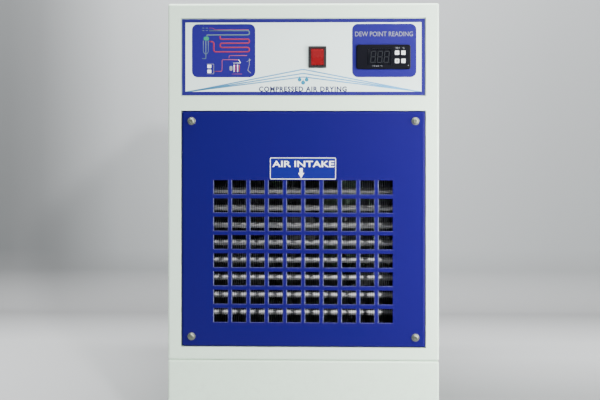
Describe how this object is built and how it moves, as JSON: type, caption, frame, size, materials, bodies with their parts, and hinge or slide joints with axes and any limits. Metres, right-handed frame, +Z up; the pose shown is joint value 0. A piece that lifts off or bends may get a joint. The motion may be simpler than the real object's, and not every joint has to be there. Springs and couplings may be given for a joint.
{
  "type": "refrigerated air dryer",
  "caption": "Floor-standing refrigerated compressed-air dryer: sheet-steel cabinet with a perforated front grille, a control strip and its refrigeration circuit inside.",
  "frame": {"origin": "centre of the bounding box at the floor, under the cabinet", "axes": "+Z up; +X to the right seen from the front; the front faces -Y"},
  "size_m": [0.385, 0.5082, 0.64],
  "materials": {
    "cabinet_white": "powder coat, fine texture",
    "control_white": "smooth satin overlay",
    "grille_blue": "smooth powder coat",
    "zinc": "bright zinc plate",
    "black_plastic": "satin moulded",
    "rocker_red": "glossy moulded",
    "controller_black": "satin moulded",
    "display_lens": "polished dark lens",
    "key_white": "soft satin",
    "fin_aluminium": "mill finish",
    "copper": "drawn copper tube",
    "galvanised": "galvanised sheet",
    "fan_aluminium": "stamped",
    "motor_black": "matt enamel",
    "compressor_black": "satin enamel",
    "rubber": "moulded",
    "foam_black": "closed-cell foam",
    "stainless": "satin stainless",
    "exchanger_metal": "brazed plates",
    "brass": "machined",
    "terminal_grey": "moulded",
    "capacitor_white": "moulded can",
    "lever_red": "dipped"
  },
  "bodies": {
    "cabinet": {"base_pan": "galvanised", "front_panel": "cabinet_white", "lower_front_panel": "cabinet_white", "left_side_panel": "cabinet_white", "right_side_panel": "cabinet_white", "top_cover": "cabinet_white", "rear_panel": "cabinet_white", "foot_front_left": "rubber", "foot_front_right": "rubber", "foot_rear_left": "rubber", "foot_rear_right": "rubber", "grille_panel": "grille_blue", "grille_screw_upper_left": "zinc", "grille_screw_upper_right": "zinc", "grille_screw_lower_left": "zinc", "grille_screw_lower_right": "zinc", "control_plate": "control_white", "switch_housing": "black_plastic", "controller_case": "controller_black", "display_window": "display_lens", "condenser_fin_pack": "fin_aluminium", "condenser_tube": "copper", "condenser_left_plate": "galvanised", "condenser_right_plate": "galvanised", "fan_shroud": "galvanised", "fan_motor": "motor_black", "motor_strap": "galvanised", "electrics_shelf": "galvanised", "terminal_block": "terminal_grey", "run_capacitor": "capacitor_white", "compressor_shell": "compressor_black", "grommet_front_left": "rubber", "grommet_front_right": "rubber", "grommet_rear_left": "rubber", "grommet_rear_right": "rubber", "terminal_cover": "black_plastic", "discharge_line": "copper", "liquid_line": "copper", "suction_line": "copper", "filter_drier": "copper", "capillary_tube": "copper", "exchanger_core": "exchanger_metal", "exchanger_jacket": "foam_black", "air_inlet_pipe": "copper", "air_outlet_pipe": "copper", "air_inlet_port": "brass", "air_outlet_port": "brass", "moisture_separator": "stainless", "drain_pipe": "copper", "drain_solenoid": "brass", "drain_valve": "brass", "cable_gland": "black_plastic"},
    "rocker": {"switch_rocker": "rocker_red"},
    "fan": {"fan_blade": "fan_aluminium"},
    "lever": {"drain_lever": "lever_red"},
    "key_upper_left": {"controller_key_upper_left": "key_white"},
    "key_upper_right": {"controller_key_upper_right": "key_white"},
    "key_lower_left": {"controller_key_lower_left": "key_white"},
    "key_lower_right": {"controller_key_lower_right": "key_white"}
  },
  "joints": [
    {"name": "rocker_tilt", "type": "hinge", "parent": "cabinet", "child": "rocker", "pos_m": [0.0204, -0.24766, 0.564], "axis": [1, 0, 0], "range_deg": [-16, 0]},
    {"name": "fan_spin", "type": "hinge", "parent": "cabinet", "child": "fan", "pos_m": [-0.009, -0.14806, 0.3074], "axis": [0, 1, 0], "continuous": true},
    {"name": "drain_lever_turn", "type": "hinge", "parent": "cabinet", "child": "lever", "pos_m": [-0.0214, 0.24014, 0.2621], "axis": [0, 0, 1], "range_deg": [-90, 0]},
    {"name": "key_upper_left_press", "type": "slide", "parent": "cabinet", "child": "key_upper_left", "axis": [0, 1, 0], "range_m": [0, 0.0006], "stiffness_N_per_m": 300},
    {"name": "key_upper_right_press", "type": "slide", "parent": "cabinet", "child": "key_upper_right", "axis": [0, 1, 0], "range_m": [0, 0.0006], "stiffness_N_per_m": 300},
    {"name": "key_lower_left_press", "type": "slide", "parent": "cabinet", "child": "key_lower_left", "axis": [0, 1, 0], "range_m": [0, 0.0006], "stiffness_N_per_m": 300},
    {"name": "key_lower_right_press", "type": "slide", "parent": "cabinet", "child": "key_lower_right", "axis": [0, 1, 0], "range_m": [0, 0.0006], "stiffness_N_per_m": 300}
  ]
}
